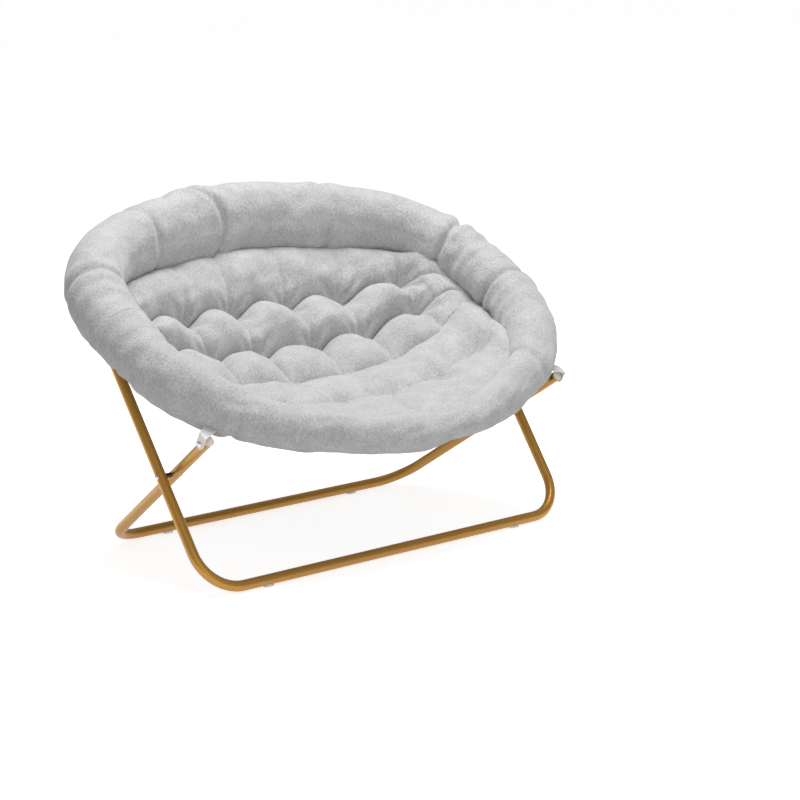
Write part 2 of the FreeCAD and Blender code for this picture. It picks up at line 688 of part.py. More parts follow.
# Side hinge
front_hoop = to_hoop(hoop_tube(front_line, flat_shift), FRONT_TILT, True)
parts["front_hoop_tube"] = front_hoop
face = flat_shift + flat_t / 2 + SEAT_FIT
rivet = across(hinge, HOOP_HALF_WIDTH - face, HOOP_HALF_WIDTH + face, RIVET_D / 2)
rivet_ends = [dome(hinge, HOOP_HALF_WIDTH + side * face, side, RIVET_HEAD_R, RIVET_HEAD_H) for side in (-1, 1)]
parts["hinge_rivets"] = both_sides(rivet.fuse(rivet_ends).removeSplitter())
washer_half = HINGE_WASHER_T / 2
washer = across(hinge, HOOP_HALF_WIDTH - washer_half, HOOP_HALF_WIDTH + washer_half, HINGE_WASHER_R)
rivet_hole = across(hinge, HOOP_HALF_WIDTH - face, HOOP_HALF_WIDTH + face, RIVET_D / 2 + RUNNING_FIT)
parts["hinge_washers"] = both_sides(washer.cut(rivet_hole))

# Front bracket on the top of the rear leg
ear_x = front_pivot_x + skin(rear_up, BRACKET_HALF_WIDTH) + BRACKET_CLEARANCE
parts["front_brackets"] = both_sides(make_bracket(ear_x))
ear_face = ear_x + BRACKET_T + SEAT_FIT
head = dome(front_pivot, ear_face, 1, BOLT_HEAD_R, BOLT_HEAD_H)
parts["bracket_bolts"] = both_sides(head.fuse(across(front_pivot, ear_x, ear_face, bolt_r)).removeSplitter())
nut_x = front_pivot_x - skin(rear_up, FLANGE_R) - SEAT_FIT
pin = across(front_pivot, nut_x - NUT_H * 0.5, ear_x - SOFT_GAP, bolt_r)
parts["rear_leg_pins"] = both_sides(pin)
parts["rear_leg_nuts"] = both_sides(flange_nut(front_pivot, nut_x, -1))

# Padded rim and bowl
pocket = hinge_pocket()
back_roll = roll_solid(back_line, BACK_SHAPE, BACK_TILT, ROLL_START, 0)
back_roll = back_roll.cut(round_part(back_line, tube_r + SLEEVE_CLEARANCE, FLAT_LENGTH - 2))
back_roll = back_roll.cut([pocket, pocket.mirror(FreeCAD.Vector(0, 0, 0), X_AXIS)])
back_roll = to_hoop(back_roll, BACK_TILT, False)
leg_end = front_corner + front_up * (front_top + PLUG_CAP + POCKET_CLEARANCE)
leg_room = cylinder(leg_end - front_up * ROOM_BELOW_FRONT_TOP, leg_end, tube_r + POCKET_CLEARANCE)
room_in = back_pivot_x - skin(front_up, FLANGE_R) - NUT_H - POCKET_CLEARANCE
room_out = hoop_x + tube_r + BOLT_HEAD_H + POCKET_CLEARANCE
bolt_room = across(back_pivot, room_in, room_out, FLANGE_R + POCKET_CLEARANCE)
for room in (leg_room, bolt_room):
    back_roll = back_roll.cut([room, room.mirror(FreeCAD.Vector(0, 0, 0), X_AXIS)])
parts["back_rim_roll"] = back_roll

front_roll = roll_solid(front_line, LIP_SHAPE, 0, ROLL_START, 0)
front_roll = front_roll.cut(round_part(front_line, tube_r + SLEEVE_CLEARANCE, FLAT_LENGTH - 2))
front_roll = front_roll.cut([pocket, pocket.mirror(FreeCAD.Vector(0, 0, 0), X_AXIS)])
front_roll = to_hoop(front_roll, FRONT_TILT, True)
rear_end = rear_corner + rear_up * (rear_top + PLUG_CAP + POCKET_CLEARANCE)
rear_room = cylinder(rear_end - rear_up * ROOM_BELOW_REAR_TOP, rear_end, tube_r + POCKET_CLEARANCE)
bracket_room = make_bracket(ear_x).makeOffsetShape(POCKET_CLEARANCE / 2, 0.01, join=2)
for room in (rear_room, bracket_room):
    front_roll = front_roll.cut([room, room.mirror(FreeCAD.Vector(0, 0, 0), X_AXIS)])
parts["front_rim_roll"] = front_roll

back_fill = to_hoop(roll_solid(back_line, BACK_SHAPE, BACK_TILT, ROLL_START, PAD_MARGIN), BACK_TILT, False)
front_fill = to_hoop(roll_solid(front_line, LIP_SHAPE, 0, ROLL_START, PAD_MARGIN), FRONT_TILT, True)
parts["back_pad"] = tufted_pad(0, FOLD_CREASE, BACK_PUFF, back_fill)
parts["seat_pad"] = tufted_pad(FOLD_CREASE, len(CREASES) - 1, SEAT_PUFF, front_fill)

os.makedirs("parts", exist_ok=True)
for name, shape in parts.items():
    print(name, "solids", len(shape.Solids), "valid", shape.isValid())
    shape.exportStep("parts/" + name + ".step")
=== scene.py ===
# %% [markdown]
# A folding two-seat saucer chair: gold tube legs, an oval hoop with a fat padded rim, and a
# tufted plush bowl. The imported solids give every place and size. This script loads them as a
# fixed frame, finishes the hard parts with materials, and makes the soft parts anew over them.

# %% Load the frame
import math
import bpy
import numpy as np
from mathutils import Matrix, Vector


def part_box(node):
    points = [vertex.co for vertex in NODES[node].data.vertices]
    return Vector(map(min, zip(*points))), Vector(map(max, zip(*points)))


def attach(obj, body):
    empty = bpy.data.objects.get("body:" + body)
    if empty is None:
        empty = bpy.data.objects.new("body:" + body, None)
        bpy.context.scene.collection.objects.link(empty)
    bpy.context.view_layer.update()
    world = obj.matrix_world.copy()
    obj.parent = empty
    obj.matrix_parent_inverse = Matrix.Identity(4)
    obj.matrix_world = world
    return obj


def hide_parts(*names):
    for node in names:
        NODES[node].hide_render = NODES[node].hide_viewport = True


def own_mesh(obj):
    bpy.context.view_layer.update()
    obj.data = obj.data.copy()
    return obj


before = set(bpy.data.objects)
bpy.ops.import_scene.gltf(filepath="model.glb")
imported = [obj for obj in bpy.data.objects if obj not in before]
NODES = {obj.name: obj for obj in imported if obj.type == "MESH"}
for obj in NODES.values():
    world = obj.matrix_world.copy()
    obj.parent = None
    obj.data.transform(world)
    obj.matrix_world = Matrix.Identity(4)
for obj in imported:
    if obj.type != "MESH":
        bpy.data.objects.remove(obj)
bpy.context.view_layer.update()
bpy.ops.object.select_all(action="DESELECT")

# %% [markdown]
# The camera comes first, so that every piece can be judged in the picture. The viewer stands
# in front, a little to one side, and looks down on the bowl through a long lens. A long lens
# keeps the far side of the ring almost as large as the near side.

# %% Camera
CAMERA_PLACE = (-3.640, -4.4904, 1.603)
CAMERA_PITCH_DOWN = 12.36
CAMERA_TURN = 40.96
CAMERA_LENS = 107.6
CAMERA_SENSOR = 36.0
CAMERA_REACH = 60.0

camera_data = bpy.data.cameras.new("camera")
camera_data.sensor_width = CAMERA_SENSOR
camera_data.lens = CAMERA_LENS
camera_data.clip_end = CAMERA_REACH
camera = bpy.data.objects.new("camera", camera_data)
bpy.context.scene.collection.objects.link(camera)
camera.location = CAMERA_PLACE
camera.rotation_euler = (math.radians(90 - CAMERA_PITCH_DOWN), 0.0, -math.radians(CAMERA_TURN))
bpy.context.scene.camera = camera
bpy.context.scene.view_settings.view_transform = "Standard"
print("camera lens", CAMERA_LENS)

# %% [markdown]
# Soft studio light is two large lamps and a pale world. The key lamp hangs high over the bowl,
# so that the rim shades its own inner side and every puff gets a dark edge below. The fill lamp
# is weaker and stands in front. A large lamp is chosen over a small strong one, because its
# shadows have soft edges.

# %% Lamps
KEY_PLACE = (0.2, -0.1, 3.9)
KEY_SIZE = 2.2
KEY_POWER = 126.0
FILL_PLACE = (-1.6, -3.8, 2.2)
FILL_SIZE = 2.6
FILL_POWER = 20.0
LAMP_AIM = (0.0, 0.0, 0.45)


def area_lamp(name, place, size, power):
    """Large square lamp that points at the middle of the chair."""
    bpy.ops.object.light_add(type="AREA", location=place)
    lamp = bpy.context.object
    lamp.name = name
    lamp.data.shape = "SQUARE"
    lamp.data.size = size
    lamp.data.energy = power
    aim = np.array(LAMP_AIM) - np.array(place)
    flat = math.hypot(aim[0], aim[1])
    lamp.rotation_euler = (math.atan2(flat, -aim[2]), 0.0, math.atan2(-aim[0], aim[1]))
    return lamp


key_lamp = area_lamp("key_lamp", KEY_PLACE, KEY_SIZE, KEY_POWER)
fill_lamp = area_lamp("fill_lamp", FILL_PLACE, FILL_SIZE, FILL_POWER)
print("lamps", key_lamp.name, KEY_POWER, "W and", fill_lamp.name, FILL_POWER, "W")

# %% [markdown]
# The world lights the chair softly from all round. What the camera sees of it is pure white, so
# the background is a plain studio white without any more light on the chair.

# %% World
WORLD_LIGHT = 0.35
WHITE = (1.0, 1.0, 1.0, 1.0)


def sky_background(tree, strength):
    """White sky of one strength."""
    sky = tree.nodes.new("ShaderNodeBackground")
    sky.inputs["Color"].default_value = WHITE
    sky.inputs["Strength"].default_value = strength
    return sky


world = bpy.data.worlds.new("studio")
bpy.context.scene.world = world
world.use_nodes = True
sky_tree = world.node_tree
sky_tree.nodes.clear()
sky_light = sky_background(sky_tree, WORLD_LIGHT)
sky_seen = sky_background(sky_tree, 1.0)
sky_path = sky_tree.nodes.new("ShaderNodeLightPath")
sky_mix = sky_tree.nodes.new("ShaderNodeMixShader")
sky_out = sky_tree.nodes.new("ShaderNodeOutputWorld")
sky_tree.links.new(sky_path.outputs["Is Camera Ray"], sky_mix.inputs[0])
sky_tree.links.new(sky_light.outputs[0], sky_mix.inputs[1])
sky_tree.links.new(sky_seen.outputs[0], sky_mix.inputs[2])
sky_tree.links.new(sky_mix.outputs[0], sky_out.inputs["Surface"])
print("world light", WORLD_LIGHT)

# %% [markdown]
# The floor is one large pale plane that keeps the chair's soft shadow. It glows a little, but
# only for the camera and for reflections, so it comes out white and throws no light up.

# %% Floor
FLOOR_SIZE = 40.0
FLOOR_GLOW = 0.71
FLOOR_COLOUR = (0.8, 0.8, 0.8, 1.0)


def floor_finish():
    """Pale matt floor with a glow that only camera rays and glossy rays see."""
    mat = bpy.data.materials.new("studio_floor")
    mat.use_nodes = True
    nodes, links = mat.node_tree.nodes, mat.node_tree.links
    nodes.clear()
    matt = nodes.new("ShaderNodeBsdfDiffuse")
    matt.inputs["Color"].default_value = FLOOR_COLOUR
    glow = nodes.new("ShaderNodeEmission")
    glow.inputs["Color"].default_value = WHITE
    glow.inputs["Strength"].default_value = FLOOR_GLOW
    both = nodes.new("ShaderNodeAddShader")
    seen = nodes.new("ShaderNodeLightPath")
    either = nodes.new("ShaderNodeMath")
    either.operation = "MAXIMUM"
    blend = nodes.new("ShaderNodeMixShader")
    out = nodes.new("ShaderNodeOutputMaterial")
    links.new(matt.outputs[0], both.inputs[0])
    links.new(glow.outputs[0], both.inputs[1])
    links.new(seen.outputs["Is Camera Ray"], either.inputs[0])
    links.new(seen.outputs["Is Glossy Ray"], either.inputs[1])
    links.new(either.outputs[0], blend.inputs[0])
    links.new(matt.outputs[0], blend.inputs[1])
    links.new(both.outputs[0], blend.inputs[2])
    links.new(blend.outputs[0], out.inputs["Surface"])
    return mat


bpy.ops.mesh.primitive_plane_add(size=FLOOR_SIZE, location=(0, 0, 0))
floor = bpy.context.object
floor.name = "floor"
floor.data.materials.append(floor_finish())
print("floor", FLOOR_SIZE, "m wide")

# %% [markdown]
# All the hard finishes share one effect: a fine grain that breaks up the gloss a little. It is
# built once as a node group with its own size and depth, and each finish places it with its
# own values. The group puts out a mask and a normal, and the shader stays in the material.

# %% Grain group
GRAIN_DETAIL = 4.0
GRAIN_STRENGTH = 0.35


def build_grain_group():
    """Fine grain: a mask for colour and gloss, and a normal for the surface."""
    group = bpy.data.node_groups.new("fine_grain", "ShaderNodeTree")
    group.interface.new_socket("Grain Scale", in_out="INPUT", socket_type="NodeSocketFloat")
    group.interface.new_socket("Depth", in_out="INPUT", socket_type="NodeSocketFloat")
    group.interface.new_socket("Mask", in_out="OUTPUT", socket_type="NodeSocketFloat")
    group.interface.new_socket("Normal", in_out="OUTPUT", socket_type="NodeSocketVector")
    nodes, links = group.nodes, group.links
    start = nodes.new("NodeGroupInput")
    end = nodes.new("NodeGroupOutput")
    place = nodes.new("ShaderNodeTexCoord")
    noise = nodes.new("ShaderNodeTexNoise")
    noise.inputs["Detail"].default_value = GRAIN_DETAIL
    bump = nodes.new("ShaderNodeBump")
    bump.inputs["Strength"].default_value = GRAIN_STRENGTH
    links.new(place.outputs["Object"], noise.inputs["Vector"])
    links.new(start.outputs["Grain Scale"], noise.inputs["Scale"])
    links.new(start.outputs["Depth"], bump.inputs["Distance"])
    links.new(noise.outputs["Fac"], bump.inputs["Height"])
    links.new(noise.outputs["Fac"], end.inputs["Mask"])
    links.new(bump.outputs["Normal"], end.inputs["Normal"])
    return group


GRAIN = build_grain_group()
print("grain group sockets", [item.name for item in GRAIN.interface.items_tree])

# %% [markdown]
# A hard finish is a dark and a light colour, a range of roughness and a share of metal. The
# grain's mask moves between the two ends of each, so no surface is perfectly even.

# %% Grained finish
def grained(name, dark, light, rough, metal, grain_scale, depth):
    """Finish whose colour and roughness wander a little with the grain."""
    mat = bpy.data.materials.new(name)
    mat.use_nodes = True
    nodes, links = mat.node_tree.nodes, mat.node_tree.links
    shader = nodes["Principled BSDF"]
    shader.inputs["Metallic"].default_value = metal
    grain = nodes.new("ShaderNodeGroup")
    grain.node_tree = GRAIN
    grain.inputs["Grain Scale"].default_value = grain_scale
    grain.inputs["Depth"].default_value = depth
    tone = nodes.new("ShaderNodeMix")
    tone.data_type = "RGBA"
    tone.inputs["A"].default_value = (*dark, 1.0)
    tone.inputs["B"].default_value = (*light, 1.0)
    gloss = nodes.new("ShaderNodeMapRange")
    gloss.inputs["To Min"].default_value = rough[0]
    gloss.inputs["To Max"].default_value = rough[1]
    links.new(grain.outputs["Mask"], tone.inputs["Factor"])
    links.new(grain.outputs["Mask"], gloss.inputs["Value"])
    links.new(tone.outputs["Result"], shader.inputs["Base Color"])
    links.new(gloss.outputs["Result"], shader.inputs["Roughness"])
    links.new(grain.outputs["Normal"], shader.inputs["Normal"])
    return mat


# Dark colour, light colour, roughness from and to, metal share, grain scale, grain depth in m.
FINISH_VALUES = {
    "gold_powder_coat": ((0.50, 0.245, 0.035), (0.62, 0.32, 0.055), (0.30, 0.42), 0.55, 900.0, 0.00006),
    "zinc_plate": ((0.62, 0.63, 0.65), (0.78, 0.79, 0.80), (0.25, 0.45), 0.95, 700.0, 0.00005),
    "pale_bracket_coat": ((0.76, 0.76, 0.74), (0.86, 0.86, 0.84), (0.35, 0.5), 0.2, 600.0, 0.00005),
    "dark_oxide": ((0.15, 0.12, 0.09), (0.26, 0.21, 0.16), (0.35, 0.5), 0.85, 700.0, 0.00005),
    "black_moulding": ((0.02, 0.02, 0.02), (0.04, 0.04, 0.04), (0.45, 0.6), 0.0, 900.0, 0.00008),
    "cream_moulding": ((0.74, 0.70, 0.60), (0.84, 0.80, 0.71), (0.4, 0.55), 0.0, 800.0, 0.00008),
    "clear_moulding": ((0.80, 0.82, 0.82), (0.90, 0.91, 0.91), (0.15, 0.3), 0.0, 500.0, 0.00006),
}
finishes = {name: grained(name, *values) for name, values in FINISH_VALUES.items()}
print("finishes", list(finishes))

# %% [markdown]
# The tubes are steel with a satin gold powder coat: part metal, part paint, under a thin clear
# coat. Fasteners are zinc-plated, the nuts on the rear leg are dark, the bracket is pale, and
# the small mouldings are cream, black and clear plastic. The clear ones let some light through.

# %% Finishes on the hard pieces
GOLD_COAT = 0.25
GOLD_COAT_ROUGHNESS = 0.2
CLEAR_SHARE = 0.45
CLEAR_IOR = 1.49
FINISH_PLACES = {
    "gold_powder_coat": ["front_leg_tube", "rear_leg_tube", "back_hoop_tube", "front_hoop_tube"],
    "zinc_plate": ["crossing_bolts", "crossing_nuts", "back_pivot_bolts", "back_pivot_nuts",
                   "hinge_rivets", "bracket_bolts", "rear_leg_pins"],
    "pale_bracket_coat": ["front_brackets"],
    "dark_oxide": ["rear_leg_nuts"],
    "black_moulding": ["crossing_spacers", "back_pivot_spacers", "hinge_washers"],
    "cream_moulding": ["front_leg_plugs", "rear_leg_plugs"],
    "clear_moulding": ["front_glides", "rear_glides"],
}

gold_shader = finishes["gold_powder_coat"].node_tree.nodes["Principled BSDF"]
gold_shader.inputs["Coat Weight"].default_value = GOLD_COAT
gold_shader.inputs["Coat Roughness"].default_value = GOLD_COAT_ROUGHNESS
clear_shader = finishes["clear_moulding"].node_tree.nodes["Principled BSDF"]
clear_shader.inputs["Transmission Weight"].default_value = CLEAR_SHARE
clear_shader.inputs["IOR"].default_value = CLEAR_IOR
for finish_name, node_names in FINISH_PLACES.items():
    for node_name in node_names:
        NODES[node_name].data.materials.clear()
        NODES[node_name].data.materials.append(finishes[finish_name])
print("finished nodes", sum(len(names) for names in FINISH_PLACES.values()))

# %% [markdown]
# The plush is a short pale grey pile. From a few metres it looks like soft speckle: tips catch
# the light, and the roots between them are darker. Hair strands would be truer from close by,
# but they are slow and don't leave Blender well. So two sizes of noise make the clumps, a bump
# lifts them, and sheen on the shader gives the soft edge that pile has. The same noise also sets
# the colour, over a small random change of tone. This paints shade into the low roots and paints
# light onto the high tips.

# %% Plush
# Ends of the pile's colour ramp: painted shade in the low roots, painted light on the high tips.
PLUSH_ROOT_SHADE = (0.40, 0.40, 0.402)
PLUSH_TIP_LIGHT = (0.62, 0.62, 0.622)
PLUSH_ROOT_SHADE_AT = 0.33
PLUSH_TIP_LIGHT_AT = 0.64
PLUSH_SOCKETS = {"Roughness": 0.95, "Specular IOR Level": 0.15,
                 "Sheen Weight": 0.35, "Sheen Roughness": 0.55}
SPECKLE_STRETCH = (1.0, 1.0, 0.55)
SPECKLE_SCALE = 260.0
SPECKLE_SHARE = 0.72
CLUMP_SCALE = 24.0
CLUMP_SHARE = 0.28
PLUSH_DETAIL = 3.0
PILE_STRENGTH = 0.75
PILE_DEPTH = 0.004


def plush_noise(nodes, scale):
    """Noise for pile; a larger scale gives finer clumps."""
    noise = nodes.new("ShaderNodeTexNoise")
    noise.inputs["Scale"].default_value = scale
    noise.inputs["Detail"].default_value = PLUSH_DETAIL
    return noise


def plush_finish():
    """Short pile: fine speckle over broader clumps, with a soft sheen, and a colour that paints shade
    into the low roots and light onto the high tips.
    """
    mat = bpy.data.materials.new("grey_plush")
    mat.use_nodes = True
    nodes, links = mat.node_tree.nodes, mat.node_tree.links
    shader = nodes["Principled BSDF"]
    for socket, value in PLUSH_SOCKETS.items():
        shader.inputs[socket].default_value = value
    place = nodes.new("ShaderNodeTexCoord")
    stretch = nodes.new("ShaderNodeMapping")
    stretch.inputs["Scale"].default_value = SPECKLE_STRETCH
    speckle = plush_noise(nodes, SPECKLE_SCALE)
    clump = plush_noise(nodes, CLUMP_SCALE)
    share = nodes.new("ShaderNodeMath")
    share.operation = "MULTIPLY"
    share.inputs[1].default_value = CLUMP_SHARE
    blend = nodes.new("ShaderNodeMath")
    blend.operation = "MULTIPLY_ADD"
    blend.inputs[1].default_value = SPECKLE_SHARE
    # The ramp follows the bump's height, so it paints shade where the pile is low and light where it is
    # high.
    ramp = nodes.new("ShaderNodeValToRGB")
    ends = ramp.color_ramp.elements
    for end, at, colour in zip(ends, (PLUSH_ROOT_SHADE_AT, PLUSH_TIP_LIGHT_AT), (PLUSH_ROOT_SHADE, PLUSH_TIP_LIGHT)):
        end.position = at
        end.color = (*colour, 1.0)
    bump = nodes.new("ShaderNodeBump")
    bump.inputs["Strength"].default_value = PILE_STRENGTH
    bump.inputs["Distance"].default_value = PILE_DEPTH
    links.new(place.outputs["Object"], stretch.inputs["Vector"])
    links.new(stretch.outputs["Vector"], speckle.inputs["Vector"])
    links.new(place.outputs["Object"], clump.inputs["Vector"])
    links.new(clump.outputs["Fac"], share.inputs[0])
    links.new(speckle.outputs["Fac"], blend.inputs[0])
    links.new(share.outputs[0], blend.inputs[2])
    links.new(blend.outputs[0], ramp.inputs["Fac"])
    links.new(blend.outputs[0], bump.inputs["Height"])
    links.new(ramp.outputs["Color"], shader.inputs["Base Color"])
    links.new(bump.outputs["Normal"], shader.inputs["Normal"])
    return mat


PLUSH = plush_finish()
print("plush nodes", len(PLUSH.node_tree.nodes))

# %% [markdown]
# The ring is two half hoops that meet at the side hinges. Each half is straight at its ends,
# turns a corner arc and closes with a wide crown arc, in its own tilted plane. The soft parts
# follow the same line, so this cell repeats it as a small class, in metres. The hinge's place
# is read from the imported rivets.

# %% Hoop lines
HOOP_HALF_WIDTH = 0.614
BACK_TILT = math.radians(27.7)
FRONT_TILT = math.radians(28.8)
rivets_low, rivets_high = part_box("hinge_rivets")
HINGE_Y = (rivets_low[1] + rivets_high[1]) / 2
HINGE_Z = (rivets_low[2] + rivets_high[2]) / 2


class Hoop:
    """Half of the ring: straight sides, two corner arcs and a crown arc, flat before it tilts."""

    def __init__(self, half_width, depth, crown_r, corner_r, tilt, forward):
        self.half_width, self.depth = half_width, depth
        self.crown_r, self.corner_r = crown_r, corner_r
        self.tilt, self.forward = tilt, forward
        self.crown_half = math.asin((half_width - corner_r) / (crown_r - corner_r))
        self.corner_x = half_width - corner_r
        self.corner_y = depth - crown_r + (crown_r - corner_r) * math.cos(self.crown_half)
        self.corner_length = corner_r * (math.pi / 2 - self.crown_half)
        self.half_length = self.corner_y + self.corner_length + crown_r * self.crown_half

    def inset(self, side, depth):
        """The same hoop drawn in: by side at its sides and by depth at its crown."""
        return Hoop(self.half_width - side, self.depth - depth, self.crown_r - depth,
                    self.corner_r - side, self.tilt, self.forward)

    def point(self, d):
        """Places and outward directions at lengths d from the right-hand hinge."""
        far = d > self.half_length
        d = np.where(far, 2 * self.half_length - d, d)
        on_side = d <= self.corner_y
        on_corner = (~on_side) & (d <= self.corner_y + self.corner_length)
        a_corner = (d - self.corner_y) / self.corner_r
        past_corner = (d - self.corner_y - self.corner_length) / self.crown_r
        a_crown = math.pi / 2 - self.crown_half + past_corner
        a = np.where(on_side, 0.0, np.where(on_corner, a_corner, a_crown))
        x_corner = self.corner_x + self.corner_r * np.cos(a)
        y_corner = self.corner_y + self.corner_r * np.sin(a)
        x_crown = self.crown_r * np.cos(a)
        y_crown = self.depth - self.crown_r + self.crown_r * np.sin(a)
        x = np.where(on_side, self.half_width, np.where(on_corner, x_corner, x_crown))
        y = np.where(on_side, d, np.where(on_corner, y_corner, y_crown))
        mirror = np.where(far, -1.0, 1.0)
        return x * mirror, y, np.cos(a) * mirror, np.sin(a)

    def y_at(self, x):
        """Distance of the line from the hinge at x across."""
        x = np.abs(x)
        crown = self.depth - self.crown_r + np.sqrt(np.maximum(0, self.crown_r ** 2 - x ** 2))
        corner_rise = np.maximum(0, self.corner_r ** 2 - (x - self.corner_x) ** 2)
        corner = self.corner_y + np.sqrt(corner_rise)
        return np.where(x < self.crown_r * math.sin(self.crown_half), crown, corner)

    def place(self, x, y, z):
        """From the flat layout to the hoop's tilted plane at the hinge."""
        y_sign = -1.0 if self.forward else 1.0
        y_level = y_sign * y * math.cos(self.tilt) - z * math.sin(self.tilt)
        z_level = y_sign * y * math.sin(self.tilt) + z * math.cos(self.tilt)
        return np.stack([x, HINGE_Y + y_level, HINGE_Z + z_level], axis=-1)


BACK_HOOP = Hoop(HOOP_HALF_WIDTH, depth=0.435, crown_r=1.000, corner_r=0.345,
                 tilt=BACK_TILT, forward=False)
FRONT_HOOP = Hoop(HOOP_HALF_WIDTH, depth=0.486, crown_r=0.830, corner_r=0.365,
                  tilt=FRONT_TILT, forward=True)
print("half ring lengths", round(2 * BACK_HOOP.half_length, 3), round(2 * FRONT_HOOP.half_length, 3))

# %% [markdown]
# Every soft piece starts as a flat grid that is added as a primitive. The grid's own corners
# give each vertex two shares, along and around, and a formula then carries it to its place on
# the padding. Working from shares keeps seams and puffs where the real ones are sewn. At the
# end the grid's meeting edges are welded, so that each piece is a closed skin.

# %% Helpers for soft pieces
def soft_grid(name, along, around):
    """Grid primitive with along by around faces, and the two shares of each vertex."""
    bpy.ops.object.select_all(action="DESELECT")
    bpy.ops.mesh.primitive_grid_add(x_subdivisions=along, y_subdivisions=around, size=2.0)
    piece = bpy.context.object
    piece.name = name
    piece.data.name = name
    flat = np.zeros(len(piece.data.vertices) * 3)
    piece.data.vertices.foreach_get("co", flat)
    flat = flat.reshape(-1, 3)
    return piece, (flat[:, 0] + 1) / 2, (flat[:, 1] + 1) / 2


def set_points(piece, points):
    """Move every vertex to its new place."""
    piece.data.vertices.foreach_set("co", points.astype(np.float32).ravel())
    piece.data.update()


def close_and_smooth(piece, merge):
    """Weld the grid's meeting edges, close what is left open, point the faces outwards."""
    bpy.ops.object.select_all(action="DESELECT")
    piece.select_set(True)
    bpy.context.view_layer.objects.active = piece
    bpy.ops.object.mode_set(mode="EDIT")
    bpy.ops.mesh.select_all(action="SELECT")
    bpy.ops.mesh.remove_doubles(threshold=merge)
    bpy.ops.mesh.select_all(action="DESELECT")
    bpy.ops.mesh.select_mode(type="EDGE")
    bpy.ops.mesh.select_non_manifold()
    bpy.ops.mesh.fill_holes(sides=0)
    bpy.ops.mesh.select_all(action="SELECT")
    bpy.ops.mesh.normals_make_consistent(inside=False)
    bpy.ops.mesh.select_all(action="DESELECT")
    bpy.ops.object.mode_set(mode="OBJECT")
    bpy.ops.object.shade_smooth()
    print(piece.name, "faces", len(piece.data.polygons))


# %% [markdown]
# Filling never lies evenly, so every soft surface gets a few slow waves. They are sums of sines
# in random directions from a fixed seed, so they are the same on each run and have no edge
# where a pattern would repeat.

# %% Waves and blends
WAVE_COUNT = 7
WAVE_SPREAD = (0.7, 1.5)
WAVE_PEAK = 1.4


def waves(points, length, seed):
    """Soft bumps, mostly between -1 and 1, of about one length, the same on every run."""
    rng = np.random.default_rng(seed)
    total = np.zeros(len(points))
    for _ in range(WAVE_COUNT):
        direction = rng.normal(size=3)
        direction /= np.linalg.norm(direction)
        pace = 2 * math.pi / (length * rng.uniform(*WAVE_SPREAD))
        total += np.sin(points @ direction * pace + rng.uniform(0, 2 * math.pi))
    return total / WAVE_COUNT ** 0.5 / WAVE_PEAK


def mix(a, b, w):
    """From a to b by the share w."""
    return a + (b - a) * w


print("waves in each sum", WAVE_COUNT)

# %% [markdown]
# The padded rim is a long bolster sewn round the hoop. It is round at the sides, tall at the
# back and slim at the front lip. A curve with a round bevel would give one section all the way,
# so the section is written as a formula instead: an ellipse that turns and swells towards the
# crown and is flattened where it sits on the tube. Each shape below is five lengths in metres:
# the middle's place outwards and upwards of the tube, half the width, half the height, and how
# far the flat underside hangs below the tube's line.

# %% Rim sections
SIDE_SHAPE = np.array([-0.032, 0.038, 0.071, 0.071, 0.018])
BACK_SHAPE = np.array([-0.041, 0.018, 0.068, 0.098, 0.070])
LIP_SHAPE = np.array([-0.012, 0.015, 0.043, 0.043, 0.020])
UNDER_DROP = 0.004
UNDER_ROUND = 0.2
END_LAP = 0.006


def rim_shape(hoop, far_shape, y):
    """Section at y from the hinge: the side's at the hinge and far_shape at the crown."""
    w = np.clip(y / hoop.depth, 0, 1) ** 2
    shape = SIDE_SHAPE + (far_shape - SIDE_SHAPE) * w[:, None]
    return shape.T, w


print("rim is", round(2 * BACK_SHAPE[3], 3), "tall at the back and", 2 * LIP_SHAPE[3], "at the lip")

# %% [markdown]
# The cover is a little too large for its filling. Long soft folds run over the bolster, short
# gathers pinch it near the hinges, and cross seams join its lengths, each a groove between two
# low lips. All of it fades out near the ends, so the two halves meet calmly at the hinges.

# %% Folds, gathers and seams
FOLD_DEPTH = 0.0050
SHORT_FOLD_DEPTH = FOLD_DEPTH / 3
LONG_FOLD = 0.20
SHORT_FOLD = 0.075
FOLD_WRAP = 0.12
GATHER_DEPTH = 0.0026
GATHER_REACH = 0.62
GATHER_PITCH = 0.052
GATHER_LEAN = 1.5
GATHER_TURN = 0.6
SEAM_DEPTH = 0.012
SHALLOW_SEAM = 0.006
SEAM_WIDTH = 0.010
SEAM_LIP = 0.35
SEAM_LIP_AWAY = 0.028
SEAM_LIP_WIDTH = 0.018
END_CALM = 0.06


def cover_swell(hoop, d, y, angle, seams, seed):
    """How far the cover stands off its smooth form, at length d and angle round the section."""
    wrapped = np.stack([d, np.cos(angle) * FOLD_WRAP, np.sin(angle) * FOLD_WRAP], axis=-1)
    swell = FOLD_DEPTH * waves(wrapped, LONG_FOLD, seed)
    swell += SHORT_FOLD_DEPTH * waves(wrapped, SHORT_FOLD, seed + 1)
    near_side = np.clip(1 - y / (GATHER_REACH * hoop.depth), 0, 1)
    lean = GATHER_LEAN * np.sin(angle + GATHER_TURN)
    swell += GATHER_DEPTH * near_side * np.sin(2 * math.pi * d / GATHER_PITCH + lean)
    for share, slant, depth in seams:
        from_seam = d - share * 2 * hoop.half_length - slant * np.cos(angle)
        swell -= depth * np.exp(-(from_seam / SEAM_WIDTH) ** 2)
        from_lip = (np.abs(from_seam) - SEAM_LIP_AWAY) / SEAM_LIP_WIDTH
        swell += SEAM_LIP * depth * np.exp(-from_lip ** 2)
    return swell * np.clip(np.minimum(d, 2 * hoop.half_length - d) / END_CALM, 0, 1)


print("folds", FOLD_DEPTH, "m deep, seams", SEAM_DEPTH, "m")

# %% [markdown]
# A bolster is its section carried along the hoop. The first share of the grid runs from hinge
# to hinge and the second one round the section. A short lap past the hinges lets the two halves
# close the ring. A seam is its share of the length, its slant in metres and its depth.

